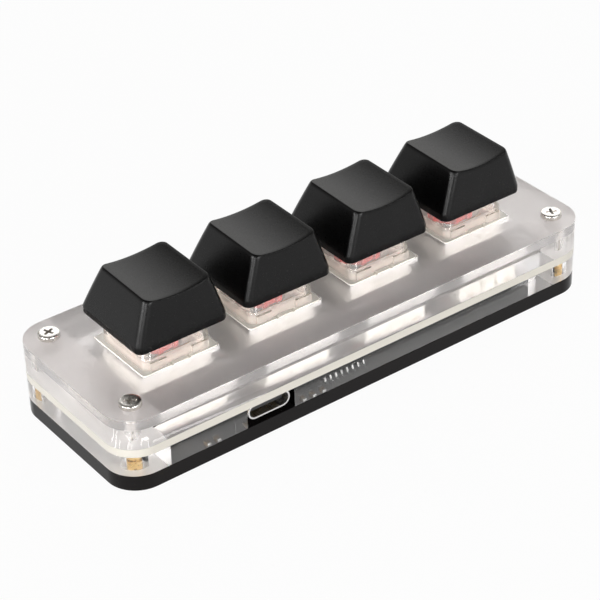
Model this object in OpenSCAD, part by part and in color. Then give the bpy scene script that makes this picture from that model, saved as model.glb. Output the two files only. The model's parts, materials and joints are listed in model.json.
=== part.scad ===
// Four-key macro keypad: black base plate, clear frame, circuit board, clear frame and frosted top plate in a
// stack, with four linear key switches that stand on the board and four sculpted keycaps.
// The user sits on the -Y side and the cable socket faces +Y. The origin is the centre of the footprint,
// at the height of the surface that the rubber feet stand on.

/* [Case] */
// Length of the case, left to right
case_length = 105; // [104:1:130]
// Depth of the case, front to back
case_depth = 36; // [34:1:48]
// Radius of the vertical corners of every layer
corner_radius = 6; // [3:0.5:8]
// Thickness of the black base plate
base_thickness = 3; // [2.5:0.5:6]
// Height of the clear frame between the base plate and the circuit board
frame_height = 4; // [3.6:0.2:8]
// Height of the clear frame between the circuit board and the top plate
upper_frame_height = 4; // [3:0.2:5]
// Thickness of the circuit board
board_thickness = 1.6; // [1.2:0.2:2]
// Thickness of the frosted top plate
top_thickness = 2; // [1.5:0.1:3]
// Width of the frames' front and back walls
frame_side_wall = 7.5; // [6:0.5:9]
// Width of the frames' end walls
frame_end_wall = 8.5; // [7:0.5:11]
// Radius of the corners of the lower frame's opening
frame_opening_radius = 3; // [1:0.5:5]
// Radius of the corners of the upper frame's opening
upper_opening_radius = 0.5; // [0.5:0.5:3]

/* [Rubber feet] */
// Thickness of the rubber feet
foot_height = 1.2; // [0.8:0.1:4]
// Radius of the rubber feet
foot_radius = 4; // [3:0.5:6]
// Distance from the screw's centre line to the foot's centre line, along the case
foot_step = 9; // [8:0.5:14]

/* [Screws] */
// Distance from the case's edges to the screws' centre lines
screw_inset = 5; // [4.5:0.1:6]
// Radius of the screws' threads
screw_radius = 1; // [0.8:0.1:1.25]
// Radius of the pan heads on the top plate
pan_head_radius = 2; // [1.7:0.1:2.4]
// Height of the pan heads
pan_head_height = 1.4; // [1.1:0.1:1.8]
// Length of top screw thread held in the insert
top_screw_grip = 2.4; // [1.6:0.1:2.4]
// Length of base screw thread held in the insert
base_screw_grip = 1.5; // [1:0.1:1.5]
// Depth of the base screws' heads below the base plate's underside
base_screw_recess = 0.5; // [0.2:0.1:0.9]
// Outer radius of the brass threaded inserts
insert_radius = 1.6; // [1.5:0.1:2]

/* [Keys] */
// Distance from one key's centre to the next
key_pitch = 22.4; // [18.6:0.1:23.2]
// How far a key goes down
key_travel = 4; // [3:0.1:4.8]
// Width and depth of a keycap at its lower edge
cap_base = 18.6; // [17.4:0.1:18.8]
// Height of a keycap's upright skirt at its lower edge
cap_skirt = 1.3; // [0.6:0.1:2]
// Width of a keycap's top
cap_top_width = 13.2; // [11.5:0.1:14]
// Depth of a keycap's top
cap_top_depth = 14.4; // [12.5:0.1:15]
// How far the keycap's top leans away from the user
cap_top_lean = 1.2; // [0:0.05:1.5]
// Height of a keycap at its top's side edges
cap_height = 9.8; // [8.5:0.1:12]
// Depth of the hollow that the finger rests in
cap_dish_depth = 0.9; // [0.5:0.1:1.6]
// Thickness of a keycap's walls
cap_wall = 1.4; // [1:0.1:1.8]
// Radius of a keycap's upright edges at its lower edge
cap_base_radius = 1.5; // [0.8:0.1:2.5]
// Radius of a keycap's upright edges at its top
cap_top_radius = 1.4; // [1:0.1:3]

/* [Switches] */
// Width and depth of the switch body below its flange
switch_width = 14; // [13.8:0.1:14.4]
// Width and depth of the switch's flange
flange_width = 15.6; // [15.2:0.1:15.8]
// Height of the flange's underside above the circuit board
flange_height = 5; // [4.5:0.1:5.5]
// Height of the switch housing above the circuit board
switch_height = 11.6; // [11.2:0.1:13]
// Gap round each switch in the top plate
switch_gap = 0.2; // [0.1:0.05:0.3]
// Turns of wire in a key spring
spring_turns = 11; // [8:0.5:11]
// Diameter of the spring's wire
spring_wire = 0.3; // [0.2:0.02:0.34]
// Mean diameter of the key spring
spring_diameter = 4.1; // [4:0.05:4.3]

/* [Socket and chip] */
// Width of the cable socket's metal shell
socket_width = 8.94; // [8.9:0.02:9.2]
// Height of the cable socket's metal shell
socket_height = 3.16; // [3.1:0.02:3.4]
// Length of the cable socket's metal shell
socket_length = 7.35; // [6.5:0.05:9]
// Distance from the case's back to the socket's mouth
socket_recess = 0.6; // [0:0.1:1.2]
// Width of the slot in the frame for the socket
socket_slot_width = 10.2; // [9.6:0.1:12]
// Length of the controller chip's body
chip_length = 9.9; // [8:0.1:10.3]
// Width of the controller chip's body
chip_width = 3.9; // [3.5:0.1:4.2]

/* [Hidden] */
$fn = 48;
// Clearances
slide_gap = 0.1;
fit_gap = 0.04;
hole_gap = 0.1;
stop_gap = 0.05;
overlap = 0.01;

// Levels of the stack
base_z = foot_height;
frame_z = base_z + base_thickness;
board_z = frame_z + frame_height;
seat_z = board_z + board_thickness;
plate_z = seat_z + upper_frame_height;
top_z = plate_z + top_thickness;

// Screw places and sizes
screw_x = case_length / 2 - screw_inset;
screw_y = case_depth / 2 - screw_inset;
top_screw_length = top_thickness + upper_frame_height + board_thickness + top_screw_grip;
base_screw_length = base_thickness - base_screw_recess + base_screw_grip;
flat_head_radius = 1.9;
flat_head_rim = 0.2;
drive_width = 0.55;
drive_length = 2.1;
drive_depth = 0.8;
insert_groove_depth = 0.2;
insert_groove_width = 0.6;

// Keys
key_count = 4;
cap_seat = switch_height;
boss_recess = 0.1;
boss_radius = 2.75;
cap_lower_z = cap_seat - boss_recess;
cap_rib_thickness = 1;
cap_rib_height = 1.8;
cap_ceiling = cap_height - cap_dish_depth - cap_wall;
cap_tilt_rise = 0.15;
cap_rings = 5;
cap_corner_steps = 6;
cap_swell = 0.05;
dish_radius = (pow(cap_top_width / 2, 2) + pow(cap_dish_depth, 2)) / (2 * cap_dish_depth);
cross_height = 3.6;
cross_length = 4.05;
cross_across = 1.3;
cross_along = 1.1;
socket_depth = cross_height + 0.2;

// Switch housing, measured from the board's top face
housing_wall = 1.5;
housing_floor = 1.2;
flange_thickness = 1;
rim_z = flange_height + flange_thickness;
cavity_width = switch_width - 2 * housing_wall;
tube_radius = 1.65;
tube_bore = 1.15;
stub_radius = 1.95;
stub_length = 3;
fixing_pin_radius = 0.85;
fixing_pin_offset = 5.08;
clip_half_width = 1.5;
clip_slot_width = 0.5;
cover_wall = 1;
cover_ceiling = 1.2;
cover_base = 13.9;
cover_upright = 2.2;
cover_top_width = 11.4;
cover_top_depth = 10.8;
cover_pad_x = 4.3;
cover_pad_width = 3.4;
cover_pad_height = 1.6;
cover_pad_thickness = 0.45;
cover_leg_x = 4.6;
cover_leg_width = 1.6;
cover_leg_thickness = 0.7;
cover_leg_length = 2.2;
cover_leg_y = switch_width / 2 - cover_leg_thickness;
light_window_width = 5;
light_window_depth = 1.3;

// Stem
head_width = 7.2;
head_depth = 5.6;
shoulder_depth = 7.4;
shoulder_top = switch_height - cover_ceiling;
shoulder_thickness = 1.6;
stem_bottom = housing_floor + key_travel + stop_gap;
rail_reach = 4.6;
rail_width = 1.8;
skirt_outer = 3.2;
skirt_inner = 2.5;
spring_seat = shoulder_top - 0.8;
// The housing's guide tube ends just under the roof of the pressed stem
tube_clearance = 0.4;
tube_height = spring_seat - key_travel - tube_clearance;
pole_radius = 1.05;
pole_bottom = 3.4;
leg_width = 1;
leg_offset = 1.5;
leg_thickness = 0.7;

// Contacts
contact_thickness = 0.2;
leaf_pin = [-3.81, 2.54];
fixed_pin = [2.54, 5.08];
contact_pin_width = 1;
contact_pin_thickness = 0.3;
contact_pin_length = 3.3;
contact_height = 4.8;
contact_x = 1.9;
contact_button_radius = 0.5;
contact_button_height = 0.25;
leaf_y = shoulder_depth / 2 + 0.3;
fixed_y = 5.05;

// Lights under the switches
light_y = -5.08;
light_length = 3.5;
light_width = 2.8;
light_height = 1;
light_bay_width = 5.4;
light_bay_depth = 3.6;
light_bay_height = 2.2;

// Spring
spring_sides = 6;
spring_rings_per_turn = 8;
spring_end_gap = 0.02;
spring_low = housing_floor + spring_wire / 2 + spring_end_gap;
spring_high = spring_seat - spring_wire / 2 - spring_end_gap;

// Socket
socket_x = key_pitch;
socket_wall = 0.3;
socket_mouth_y = case_depth / 2 - socket_recess;
socket_z = board_z - socket_height / 2;
socket_block_length = 1.6;
tongue_width = 6.7;
tongue_thickness = 0.7;
tongue_end_gap = 0.8;
contact_end_gap = 0.15;
socket_contact_count = 12;
socket_contact_pitch = 0.5;
socket_contact_width = 0.26;
socket_contact_thickness = 0.08;
socket_tab_width = 1;
socket_tab_thickness = 0.3;
socket_tab_length = 1.1;
socket_tab_places = [1.4, 5.6];

// Chip and small parts on the board's underside
chip_place = [1, 5];
chip_stand_off = 0.15;
chip_thickness = 1.35;
chip_lead_count = 8;
chip_lead_pitch = 1.27;
chip_lead_width = 0.42;
chip_lead_thickness = 0.2;
chip_lead_reach = 1.1;
chip_lead_foot = 0.6;
capacitor_places = [[7.6, 9.3], [9.8, 9.3], [12, 9.3], [30.7, 9.3], [32.8, 9.3]];
capacitor_length = 1;
capacitor_width = 0.8;
capacitor_height = 0.8;
capacitor_end = 0.3;

// The least gap of the spring to itself, measured between points of its wire that are half a turn or more apart
spring_path = [
    for (ring = [0 : spring_turns * spring_rings_per_turn])
        let (
            angle = 360 * ring / spring_rings_per_turn,
            share = ring / (spring_turns * spring_rings_per_turn)
        )
        [
            spring_diameter / 2 * cos(angle),
            spring_diameter / 2 * sin(angle),
            spring_low + (spring_high - spring_low) * share
        ]
];
spring_gap = min([
    for (i = [0 : len(spring_path) - 1], j = [0 : len(spring_path) - 1])
        if (j - i >= spring_rings_per_turn / 2) norm(spring_path[j] - spring_path[i])
]) - spring_wire;
echo(spring_least_gap_mm = spring_gap);

function key_x(key) = (key - (key_count + 1) / 2) * key_pitch;

// Points of a level ring, a rectangle with round corners, from its half width and its front and back edges
function round_ring(half_width, front, back, radius, level, steps) = [
    for (corner = [0 : 3], step = [0 : steps])
        let (
            angle = 90 * corner + 90 * step / steps,
            centre_x = (corner == 0 || corner == 3 ? 1 : -1) * (half_width - radius),
            centre_y = corner < 2 ? back - radius : front + radius
        )
        [centre_x + radius * cos(angle), centre_y + radius * sin(angle), level]
];

// Skin through rings of equal point counts, closed at both ends
module loft(rings) {
    count = len(rings[0]);
    last = len(rings) - 1;
    points = [for (ring = rings) each ring];
    sides = [
        for (i = [0 : last - 1], j = [0 : count - 1])
            let (
                a = i * count + j,
                b = i * count + (j + 1) % count,
                c = (i + 1) * count + (j + 1) % count,
                d = (i + 1) * count + j
            )
            each [[a, d, c], [a, c, b]]
    ];
    lower_end = [for (j = [0 : count - 1]) j];
    upper_end = [for (j = [count - 1 : -1 : 0]) last * count + j];
    polyhedron(points = points, faces = concat([lower_end, upper_end], sides), convexity = 6);
}

// Rectangle with true round corners
module round_rect(length, depth, radius) {
    square([length - 2 * radius, depth], center = true);
    square([length, depth - 2 * radius], center = true);
    for (x = [-1, 1], y = [-1, 1])
        translate([x * (length / 2 - radius), y * (depth / 2 - radius)])
            circle(r = radius);
}

module round_plate(length, depth, height, radius) {
    linear_extrude(height = height)
        round_rect(length, depth, radius);
}

// Block centred in X and Y that stands on its own lower face
module block(size) {
    translate([-size[0] / 2, -size[1] / 2, 0])
        cube(size);
}

module at_screws() {
    for (x = [-screw_x, screw_x], y = [-screw_y, screw_y])
        translate([x, y, 0])
            children();
}

module at_key(key) {
    translate([key_x(key), 0, seat_z])
        children();
}

module at_all_keys() {
    for (key = [1 : key_count])
        at_key(key)
            children();
}

module cross_drive(depth) {
    for (turn = [0, 90])
        rotate(turn)
            block([drive_length, drive_width, depth]);
}

module base_plate() {
    color([0.12, 0.11, 0.11])
    difference() {
        translate([0, 0, base_z])
            round_plate(case_length, case_depth, base_thickness, corner_radius);
        at_screws() {
            translate([0, 0, base_z - overlap])
                cylinder(r = screw_radius + hole_gap, h = base_thickness + 2 * overlap);
            translate([0, 0, base_z - overlap])
                cylinder(r = flat_head_radius + hole_gap, h = base_screw_recess + flat_head_rim + overlap);
            translate([0, 0, base_z + base_screw_recess + flat_head_rim - overlap])
                cylinder(
                    r1 = flat_head_radius + hole_gap,
                    r2 = screw_radius + hole_gap,
                    h = flat_head_radius - screw_radius
                );
        }
    }
}

module rubber_feet() {
    color([0.2, 0.2, 0.2])
    for (x = [-1, 1], y = [-1, 1])
        translate([x * (screw_x - foot_step), y * (screw_y - foot_radius / 2), 0]) {
            cylinder(r1 = foot_radius - 0.4, r2 = foot_radius, h = 0.4);
            translate([0, 0, 0.4])
                cylinder(r = foot_radius, h = foot_height - 0.4);
        }
}

// Ring of clear sheet with one long opening and a round hole at each screw
module clear_ring(height, opening_radius, hole_radius) {
    opening_length = case_length - 2 * frame_end_wall;
    opening_depth = case_depth - 2 * frame_side_wall;
    difference() {
        round_plate(case_length, case_depth, height, corner_radius);
        translate([0, 0, -overlap])
            round_plate(opening_length, opening_depth, height + 2 * overlap, opening_radius);
        at_screws()
            translate([0, 0, -overlap])
                cylinder(r = hole_radius, h = height + 2 * overlap);
    }
}

module lower_frame() {
    color([0.85, 0.87, 0.88, 0.4])
    translate([0, 0, frame_z])
        difference() {
            clear_ring(frame_height, frame_opening_radius, insert_radius + fit_gap);
            translate([socket_x - socket_slot_width / 2, 0, -overlap])
                cube([socket_slot_width, case_depth, frame_height + 2 * overlap]);
        }
}

module threaded_inserts() {
    color([0.85, 0.65, 0.25])
    at_screws()
        translate([0, 0, frame_z])
            difference() {
                cylinder(r = insert_radius, h = frame_height);
                translate([0, 0, -overlap])
                    cylinder(r = screw_radius + fit_gap, h = frame_height + 2 * overlap);
                translate([0, 0, (frame_height - insert_groove_width) / 2])
                    difference() {
                        cylinder(r = insert_radius + overlap, h = insert_groove_width);
                        cylinder(r = insert_radius - insert_groove_depth, h = insert_groove_width);
                    }
            }
}

module circuit_board() {
    color([0.9, 0.89, 0.83])
    difference() {
        translate([0, 0, board_z])
            round_plate(case_length, case_depth, board_thickness, corner_radius);
        at_screws()
            translate([0, 0, board_z - overlap])
                cylinder(r = screw_radius + hole_gap, h = board_thickness + 2 * overlap);
        at_all_keys()
            translate([0, 0, -board_thickness - overlap]) {
                cylinder(r = stub_radius + fit_gap, h = board_thickness + 2 * overlap);
                for (side = [-1, 1])
                    translate([side * fixing_pin_offset, 0, 0])
                        cylinder(r = fixing_pin_radius + fit_gap, h = board_thickness + 2 * overlap);
                for (pin = [leaf_pin, fixed_pin])
                    translate([pin[0], pin[1], 0])
                        cylinder(r = contact_pin_width / 2 + hole_gap, h = board_thickness + 2 * overlap);
            }
        at_socket_tabs()
            translate([0, 0, board_z - overlap])
                block([
                    socket_tab_thickness + 2 * hole_gap,
                    socket_tab_width + 2 * hole_gap,
                    board_thickness + 2 * overlap
                ]);
    }
}

module upper_frame() {
    color([0.85, 0.87, 0.88, 0.4])
    translate([0, 0, seat_z])
        clear_ring(upper_frame_height, upper_opening_radius, screw_radius + hole_gap);
}

module top_plate() {
    cutout = flange_width + 2 * switch_gap;
    color([0.93, 0.93, 0.94, 0.5])
    difference() {
        translate([0, 0, plate_z])
            round_plate(case_length, case_depth, top_thickness, corner_radius);
        at_screws()
            translate([0, 0, plate_z - overlap])
                cylinder(r = screw_radius + hole_gap, h = top_thickness + 2 * overlap);
        at_all_keys()
            translate([0, 0, upper_frame_height - overlap])
                round_plate(cutout, cutout, top_thickness + 2 * overlap, 0.5);
    }
}

module top_screws() {
    dome_radius = (pow(pan_head_radius, 2) + pow(pan_head_height, 2)) / (2 * pan_head_height);
    rim = 0.5;
    color([0.78, 0.76, 0.72])
    at_screws()
        translate([0, 0, top_z]) {
            difference() {
                intersection() {
                    cylinder(r = pan_head_radius, h = pan_head_height);
                    translate([0, 0, pan_head_height - dome_radius - rim])
                        sphere(r = dome_radius + rim);
                }
                translate([0, 0, pan_head_height - drive_depth])
                    cross_drive(drive_depth + overlap);
            }
            translate([0, 0, -top_screw_length])
                cylinder(r = screw_radius, h = top_screw_length + overlap);
        }
}

module base_screws() {
    color([0.78, 0.76, 0.72])
    at_screws()
        translate([0, 0, base_z + base_screw_recess])
            difference() {
                union() {
                    cylinder(r = flat_head_radius, h = flat_head_rim);
                    translate([0, 0, flat_head_rim])
                        cylinder(r1 = flat_head_radius, r2 = screw_radius, h = flat_head_radius - screw_radius);
                    cylinder(r = screw_radius, h = base_screw_length);
                }
                translate([0, 0, -overlap])
                    cross_drive(drive_depth + overlap);
            }
}

// Section of the socket's shell, with fully round ends
module socket_section(inset) {
    round_rect(
        socket_width - 2 * inset,
        socket_height - 2 * inset,
        socket_height / 2 - inset - overlap
    );
}

// Carries a shape drawn along Z so that it runs from the socket's mouth into the case
module from_socket_mouth(depth) {
    translate([socket_x, socket_mouth_y - depth, socket_z])
        rotate([90, 0, 0])
            children();
}

module at_socket_tabs() {
    for (side = [-1, 1], place = socket_tab_places)
        translate([
            socket_x + side * (socket_width - socket_tab_thickness) / 2,
            socket_mouth_y - place,
            0
        ])
            children();
}

module socket_shell() {
    color([0.8, 0.8, 0.8]) {
        from_socket_mouth(0)
            difference() {
                linear_extrude(height = socket_length)
                    socket_section(0);
                translate([0, 0, -overlap])
                    linear_extrude(height = socket_length + 2 * overlap)
                        socket_section(socket_wall);
            }
        at_socket_tabs()
            translate([0, 0, socket_z])
                block([
                    socket_tab_thickness,
                    socket_tab_width,
                    board_z - socket_z + socket_tab_length
                ]);
    }
}

module socket_tongue() {
    block_depth = socket_length - socket_block_length;
    color([0.08, 0.08, 0.08])
    union() {
        from_socket_mouth(block_depth)
            linear_extrude(height = socket_block_length)
                socket_section(socket_wall + 0.02);
        from_socket_mouth(tongue_end_gap)
            linear_extrude(height = block_depth - tongue_end_gap + overlap)
                round_rect(tongue_width, tongue_thickness, 0.15);
    }
}

module socket_contacts() {
    contact_length = socket_length - socket_block_length - tongue_end_gap - contact_end_gap;
    first_x = -(socket_contact_count - 1) / 2 * socket_contact_pitch;
    color([0.85, 0.7, 0.35])
    for (side = [-1, 1], i = [0 : socket_contact_count - 1])
        from_socket_mouth(tongue_end_gap + contact_end_gap)
            translate([
                first_x + i * socket_contact_pitch,
                side * (tongue_thickness + socket_contact_thickness) / 2 - socket_contact_thickness / 2,
                0
            ])
                translate([-socket_contact_width / 2, 0, 0])
                    cube([socket_contact_width, socket_contact_thickness, contact_length]);
}

// Parts on the board's underside hang down from it
module under_board(place) {
    translate([place[0], place[1], board_z])
        mirror([0, 0, 1])
            children();
}

module chip_body() {
    bevel = 0.25;
    color([0.1, 0.1, 0.1])
    under_board(chip_place)
        difference() {
            translate([-chip_length / 2, 0, chip_stand_off])
                rotate([90, 0, 90])
                    linear_extrude(height = chip_length)
                        polygon([
                            [-chip_width / 2 + bevel / 2, 0],
                            [chip_width / 2 - bevel / 2, 0],
                            [chip_width / 2, chip_thickness / 2],
                            [chip_width / 2 - bevel, chip_thickness],
                            [-chip_width / 2 + bevel, chip_thickness],
                            [-chip_width / 2, chip_thickness / 2]
                        ]);
            translate([-chip_length / 2 + 1.2, -chip_width / 2 + 1.2, chip_stand_off + chip_thickness - 0.1])
                cylinder(r = 0.4, h = 0.2);
        }
}

module chip_leads() {
    half = chip_width / 2;
    shoulder = chip_stand_off + chip_thickness / 2;
    knee = half + chip_lead_reach - chip_lead_foot;
    color([0.75, 0.75, 0.75])
    under_board(chip_place)
        for (side = [-1, 1], i = [0 : chip_lead_count - 1])
            translate([(i - (chip_lead_count - 1) / 2) * chip_lead_pitch, 0, 0])
                scale([1, side, 1])
                    translate([-chip_lead_width / 2, 0, 0])
                        rotate([90, 0, 90])
                            linear_extrude(height = chip_lead_width)
                                polygon([
                                    [half, shoulder - chip_lead_thickness / 2],
                                    [half, shoulder + chip_lead_thickness / 2],
                                    [knee - chip_lead_thickness / 2, shoulder + chip_lead_thickness / 2],
                                    [knee + chip_lead_thickness, chip_lead_thickness],
                                    [half + chip_lead_reach, chip_lead_thickness],
                                    [half + chip_lead_reach, 0],
                                    [knee, 0],
                                    [knee - chip_lead_thickness, shoulder - chip_lead_thickness / 2]
                                ]);
}

module capacitors() {
    color([0.72, 0.6, 0.45])
    for (place = capacitor_places)
        under_board(place)
            block([capacitor_width, capacitor_length, capacitor_height]);
}

module capacitor_ends() {
    color([0.8, 0.8, 0.8])
    for (place = capacitor_places, side = [-1, 1])
        under_board(place)
            translate([0, side * (capacitor_length + capacitor_end) / 2, 0])
                block([capacitor_width, capacitor_end, capacitor_height]);
}

// Flexible clip on the front and back of a switch body, between two slots, with a wedge that grips a thin plate
module clip_wedge() {
    translate([clip_half_width, 0, 0])
        rotate([90, 0, -90])
            linear_extrude(height = 2 * clip_half_width)
                polygon([[-overlap, 0], [0.45, 1.1], [0, 1.4], [-overlap, 1.4]]);
}

module bottom_housing(key) {
    color([0.95, 0.93, 0.86])
    at_key(key)
        difference() {
            union() {
                difference() {
                    union() {
                        round_plate(switch_width, switch_width, rim_z, 0.6);
                        translate([0, 0, flange_height])
                            round_plate(flange_width, flange_width, flange_thickness, 0.8);
                        for (side = [0, 180])
                            rotate(side)
                                translate([0, -switch_width / 2, 2.1])
                                    clip_wedge();
                    }
                    translate([0, 0, housing_floor])
                        round_plate(cavity_width, cavity_width, rim_z, 0.5);
                }
                // Guide tube inside and centring stub below
                translate([0, 0, -stub_length])
                    cylinder(r = stub_radius, h = stub_length + overlap);
                cylinder(r = tube_radius, h = tube_height);
                // Fixing pins
                for (side = [-1, 1])
                    translate([side * fixing_pin_offset, 0, -stub_length])
                        cylinder(r = fixing_pin_radius, h = stub_length + overlap);
                // Ribs that guide the stem's rails
                for (side = [-1, 1], edge = [-1, 1])
                    translate([
                        side * (cavity_width / 2 - 0.75 + overlap),
                        edge * (rail_width / 2 + slide_gap + 0.35),
                        housing_floor - overlap
                    ])
                        block([1.5, 0.7, rim_z - housing_floor + overlap]);
            }
            // Bore for the stem's pole
            translate([0, 0, -stub_length + 0.6])
                cylinder(r = tube_bore, h = stub_length + tube_height);
            // Bay for the light
            translate([0, -switch_width / 2 + light_bay_depth / 2 - overlap, -overlap])
                block([light_bay_width, light_bay_depth + overlap, light_bay_height]);
            // Slots that free the two clips
            for (x = [-1, 1], y = [-1, 1])
                translate([
                    x * (clip_half_width + clip_slot_width / 2),
                    y * (switch_width / 2),
                    light_bay_height + 0.4
                ])
                    block([clip_slot_width, 2 * housing_wall - 0.8, rim_z]);
            // Pockets for the cover's legs
            for (x = [-1, 1], y = [-1, 1])
                translate([
                    x * cover_leg_x,
                    y * (cover_leg_y + cover_leg_thickness / 2),
                    rim_z - cover_leg_length - 0.2
                ])
                    block([
                        cover_leg_width + 2 * slide_gap,
                        cover_leg_thickness + 2 * slide_gap,
                        cover_leg_length + 1
                    ]);
            // Holes for the contact pins
            for (pin = [leaf_pin, fixed_pin])
                translate([pin[0], pin[1], -overlap])
                    block([
                        contact_pin_width + 2 * slide_gap,
                        contact_pin_thickness + 2 * slide_gap,
                        housing_floor + 2 * overlap
                    ]);
        }
}

// Upright below and tapered above, up to a level from the board's top face
module cover_shape(inset, lower, upper) {
    shoulder = rim_z + cover_upright;
    loft([
        for (level = [lower, shoulder, upper])
            let (
                share = max(level - shoulder, 0) / (switch_height - shoulder),
                half_width = cover_base / 2 - inset - share * (cover_base - cover_top_width) / 2,
                half_depth = cover_base / 2 - inset - share * (cover_base - cover_top_depth) / 2
            )
            round_ring(half_width, -half_depth, half_depth, 1.4 - inset / 2, level, 5)
    ]);
}

module top_housing(key) {
    color([0.9, 0.91, 0.93, 0.4])
    at_key(key) {
        difference() {
            union() {
                cover_shape(0, rim_z, switch_height);
                // Raised pads over the legs
                for (x = [-1, 1])
                    translate([x * cover_pad_x, 0, rim_z])
                        block([cover_pad_width, cover_base + 2 * cover_pad_thickness, cover_pad_height]);
            }
            cover_shape(cover_wall, rim_z - overlap, shoulder_top);
            // Window for the stem
            translate([0, 0, shoulder_top - 1])
                block([head_width + 2 * slide_gap, head_depth + 2 * slide_gap, cover_ceiling + 2]);
            // Window over the light
            translate([0, -cover_top_depth / 2 + light_window_depth, shoulder_top - 1])
                block([light_window_width, light_window_depth, cover_ceiling + 2]);
        }
        // Legs that hook into the bottom housing
        for (x = [-1, 1], y = [-1, 1])
            translate([
                x * cover_leg_x,
                y * (cover_leg_y + cover_leg_thickness / 2),
                rim_z - cover_leg_length
            ])
                block([cover_leg_width, cover_leg_thickness, cover_leg_length + overlap]);
    }
}

module stem(key) {
    color([0.75, 0.12, 0.12])
    at_key(key) {
        difference() {
            union() {
                // Head with the keycap's cross
                translate([0, 0, shoulder_top - overlap])
                    round_plate(head_width, head_depth, cap_seat - shoulder_top + overlap, 0.5);
                translate([0, 0, cap_seat - overlap]) {
                    block([cross_length, cross_across, cross_height + overlap]);
                    block([cross_along, cross_length, cross_height + overlap]);
                }
                // Shoulder that stops under the cover
                translate([0, 0, shoulder_top - shoulder_thickness])
                    round_plate(head_width, shoulder_depth, shoulder_thickness, 0.5);
                // Rails that run between the housing's ribs
                for (side = [-1, 1])
                    translate([side * (rail_reach / 2 + 1), 0, stem_bottom])
                        block([rail_reach - 2, rail_width, shoulder_top - stem_bottom]);
                // Legs that press the contact leaf
                for (side = [-1, 1])
                    translate([
                        side * leg_offset,
                        (shoulder_depth - leg_thickness) / 2,
                        stem_bottom
                    ])
                        block([leg_width, leg_thickness, shoulder_top - stem_bottom]);
                // Skirt round the spring
                translate([0, 0, stem_bottom])
                    cylinder(r = skirt_outer, h = shoulder_top - stem_bottom);
            }
            translate([0, 0, stem_bottom - overlap])
                cylinder(r = skirt_inner, h = spring_seat - stem_bottom + overlap);
        }
        // Pole in the guide tube
        translate([0, 0, pole_bottom])
            cylinder(r = pole_radius, h = spring_seat - pole_bottom + overlap);
    }
}

// Key spring, one unbroken tube that follows the helix
module spring(key) {
    last = len(spring_path) - 1;
    rings = [
        for (i = [0 : last])
            let (
                angle = 360 * i / spring_rings_per_turn,
                outward = [cos(angle), sin(angle), 0],
                rise = (spring_high - spring_low) / spring_turns / (PI * spring_diameter),
                along = [-sin(angle), cos(angle), rise] / norm([1, rise]),
                upward = cross(outward, along)
            )
            [
                for (side = [0 : spring_sides - 1])
                    let (turn = 360 * side / spring_sides)
                    spring_path[i] + spring_wire / 2 * (cos(turn) * outward - sin(turn) * upward)
            ]
    ];
    color([0.8, 0.8, 0.78])
    at_key(key)
        loft(rings);
}

module contact_leaf(key) {
    pin_x = leaf_pin[0];
    blade_end = contact_x + 0.8;
    blade_height = 1.2;
    color([0.8, 0.6, 0.3])
    at_key(key) {
        translate([pin_x, leaf_pin[1], -contact_pin_length])
            block([contact_pin_width, contact_pin_thickness, contact_pin_length + housing_floor + contact_thickness]);
        translate([pin_x - contact_pin_width / 2, leaf_pin[1], housing_floor])
            cube([contact_pin_width, leaf_y - leaf_pin[1] + contact_thickness, contact_thickness]);
        translate([pin_x - contact_pin_width / 2, leaf_y, housing_floor])
            cube([contact_pin_width, contact_thickness, contact_height + blade_height / 2 - housing_floor]);
        translate([pin_x, leaf_y, contact_height - blade_height / 2])
            cube([blade_end - pin_x, contact_thickness, blade_height]);
        translate([contact_x, leaf_y + contact_thickness - overlap, contact_height])
            rotate([-90, 0, 0])
                cylinder(r = contact_button_radius, h = contact_button_height + overlap);
    }
}

module fixed_contact(key) {
    color([0.8, 0.6, 0.3])
    at_key(key) {
        translate([fixed_pin[0], fixed_pin[1], -contact_pin_length])
            block([contact_pin_width, contact_pin_thickness, contact_pin_length + housing_floor + overlap]);
        translate([contact_x - 1.1, fixed_y, housing_floor])
            cube([2.2, contact_thickness, contact_height + 0.8 - housing_floor]);
        translate([contact_x, fixed_y + overlap, contact_height])
            rotate([90, 0, 0])
                cylinder(r = contact_button_radius, h = contact_button_height + overlap);
    }
}

module light(key) {
    color([0.97, 0.96, 0.9])
    at_key(key)
        translate([0, light_y, 0])
            difference() {
                block([light_length, light_width, light_height]);
                translate([0, 0, light_height - 0.3])
                    cylinder(r1 = 0.9, r2 = 1.15, h = 0.31);
            }
}

// Outer skin of a keycap, or with an inset its hollow, up to a level above its lower edge
module cap_shape(inset, lower, upper) {
    levels = concat(
        [lower],
        [for (i = [0 : cap_rings]) cap_skirt + (upper - cap_skirt) * i / cap_rings]
    );
    loft([
        for (level = levels)
            let (
                share = max(level - cap_skirt, 0) / (cap_height - cap_skirt),
                swell = cap_swell * 4 * share * (1 - share),
                half = cap_base / 2 + (cap_top_width - cap_base) / 2 * share + swell,
                front = -cap_base / 2 + ((cap_base - cap_top_depth) / 2 + cap_top_lean) * share - swell,
                back = cap_base / 2 - ((cap_base - cap_top_depth) / 2 - cap_top_lean) * share + swell,
                radius = cap_base_radius + (cap_top_radius - cap_base_radius) * share
            )
            round_ring(
                half - inset,
                front + inset,
                back - inset,
                max(radius - inset / 2, 0.4),
                level,
                cap_corner_steps
            )
    ]);
}

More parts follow.
